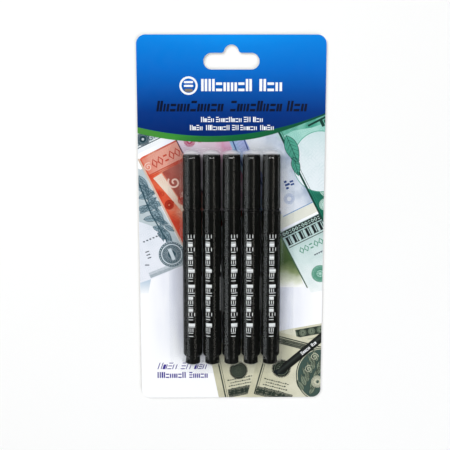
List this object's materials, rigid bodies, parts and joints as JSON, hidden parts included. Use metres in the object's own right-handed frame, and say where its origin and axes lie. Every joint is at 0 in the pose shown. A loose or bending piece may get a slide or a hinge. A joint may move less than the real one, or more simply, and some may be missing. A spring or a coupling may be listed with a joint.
{
  "type": "carded counterfeit detector pen pack",
  "caption": "Retail card with a hang slot and a clear blister tub that holds capped black iodine pens for testing banknotes.",
  "frame": {"origin": "centre of the card's back face, which the pack lies on", "axes": "+X across the card, +Y up the card towards the hang slot, +Z out of the printed face"},
  "size_m": [0.122, 0.242, 0.0145],
  "materials": {
    "printed_card": "gloss printed paperboard",
    "clear_blister": "clear thermoformed film",
    "black_pen_plastic": "moulded, satin gloss",
    "nib_fibre": "bonded felt, wet with amber ink",
    "reservoir_fibre": "bundled fibre",
    "reservoir_film": "thin clear wrap",
    "natural_liner": "soft natural polyethylene"
  },
  "bodies": {
    "card": {"backing_card": "printed_card"},
    "blister": {"blister_tub": "clear_blister"},
    "pen_1": {"pen_1_barrel": "black_pen_plastic", "pen_1_end_plug": "black_pen_plastic", "pen_1_front_section": "black_pen_plastic", "pen_1_nib": "nib_fibre", "pen_1_ink_reservoir": "reservoir_fibre", "pen_1_reservoir_film": "reservoir_film"},
    "pen_1_cap": {"pen_1_cap": "black_pen_plastic", "pen_1_cap_liner": "natural_liner"},
    "pen_2": {"pen_2_barrel": "black_pen_plastic", "pen_2_end_plug": "black_pen_plastic", "pen_2_front_section": "black_pen_plastic", "pen_2_nib": "nib_fibre", "pen_2_ink_reservoir": "reservoir_fibre", "pen_2_reservoir_film": "reservoir_film"},
    "pen_2_cap": {"pen_2_cap": "black_pen_plastic", "pen_2_cap_liner": "natural_liner"},
    "pen_3": {"pen_3_barrel": "black_pen_plastic", "pen_3_end_plug": "black_pen_plastic", "pen_3_front_section": "black_pen_plastic", "pen_3_nib": "nib_fibre", "pen_3_ink_reservoir": "reservoir_fibre", "pen_3_reservoir_film": "reservoir_film"},
    "pen_3_cap": {"pen_3_cap": "black_pen_plastic", "pen_3_cap_liner": "natural_liner"},
    "pen_4": {"pen_4_barrel": "black_pen_plastic", "pen_4_end_plug": "black_pen_plastic", "pen_4_front_section": "black_pen_plastic", "pen_4_nib": "nib_fibre", "pen_4_ink_reservoir": "reservoir_fibre", "pen_4_reservoir_film": "reservoir_film"},
    "pen_4_cap": {"pen_4_cap": "black_pen_plastic", "pen_4_cap_liner": "natural_liner"},
    "pen_5": {"pen_5_barrel": "black_pen_plastic", "pen_5_end_plug": "black_pen_plastic", "pen_5_front_section": "black_pen_plastic", "pen_5_nib": "nib_fibre", "pen_5_ink_reservoir": "reservoir_fibre", "pen_5_reservoir_film": "reservoir_film"},
    "pen_5_cap": {"pen_5_cap": "black_pen_plastic", "pen_5_cap_liner": "natural_liner"}
  },
  "joints": [
    {"name": "blister_peel", "type": "hinge", "parent": "card", "child": "blister", "pos_m": [0, -0.1037, 0.0009], "axis": [1, 0, 0], "range_deg": [0, 110]},
    {"name": "pen_1_lift", "type": "slide", "parent": "card", "child": "pen_1", "axis": [0, 0, 1], "range_m": [0, 0.0165]},
    {"name": "pen_1_cap_pull", "type": "slide", "parent": "pen_1", "child": "pen_1_cap", "axis": [0, 1, 0], "range_m": [0, 0.0305]},
    {"name": "pen_2_lift", "type": "slide", "parent": "card", "child": "pen_2", "axis": [0, 0, 1], "range_m": [0, 0.0165]},
    {"name": "pen_2_cap_pull", "type": "slide", "parent": "pen_2", "child": "pen_2_cap", "axis": [0, 1, 0], "range_m": [0, 0.0305]},
    {"name": "pen_3_lift", "type": "slide", "parent": "card", "child": "pen_3", "axis": [0, 0, 1], "range_m": [0, 0.0165]},
    {"name": "pen_3_cap_pull", "type": "slide", "parent": "pen_3", "child": "pen_3_cap", "axis": [0, 1, 0], "range_m": [0, 0.0305]},
    {"name": "pen_4_lift", "type": "slide", "parent": "card", "child": "pen_4", "axis": [0, 0, 1], "range_m": [0, 0.0165]},
    {"name": "pen_4_cap_pull", "type": "slide", "parent": "pen_4", "child": "pen_4_cap", "axis": [0, 1, 0], "range_m": [0, 0.0305]},
    {"name": "pen_5_lift", "type": "slide", "parent": "card", "child": "pen_5", "axis": [0, 0, 1], "range_m": [0, 0.0165]},
    {"name": "pen_5_cap_pull", "type": "slide", "parent": "pen_5", "child": "pen_5_cap", "axis": [0, 1, 0], "range_m": [0, 0.0305]}
  ],
  "couplings": [
    {"joint": "pen_1_lift", "follows": "blister_peel", "m_per_rad": 0.008334},
    {"joint": "pen_1_cap_pull", "follows": "blister_peel", "m_per_rad": 0.015626},
    {"joint": "pen_2_lift", "follows": "blister_peel", "m_per_rad": 0.008334},
    {"joint": "pen_2_cap_pull", "follows": "blister_peel", "m_per_rad": 0.015626},
    {"joint": "pen_3_lift", "follows": "blister_peel", "m_per_rad": 0.008334},
    {"joint": "pen_3_cap_pull", "follows": "blister_peel", "m_per_rad": 0.015626},
    {"joint": "pen_4_lift", "follows": "blister_peel", "m_per_rad": 0.008334},
    {"joint": "pen_4_cap_pull", "follows": "blister_peel", "m_per_rad": 0.015626},
    {"joint": "pen_5_lift", "follows": "blister_peel", "m_per_rad": 0.008334},
    {"joint": "pen_5_cap_pull", "follows": "blister_peel", "m_per_rad": 0.015626}
  ]
}
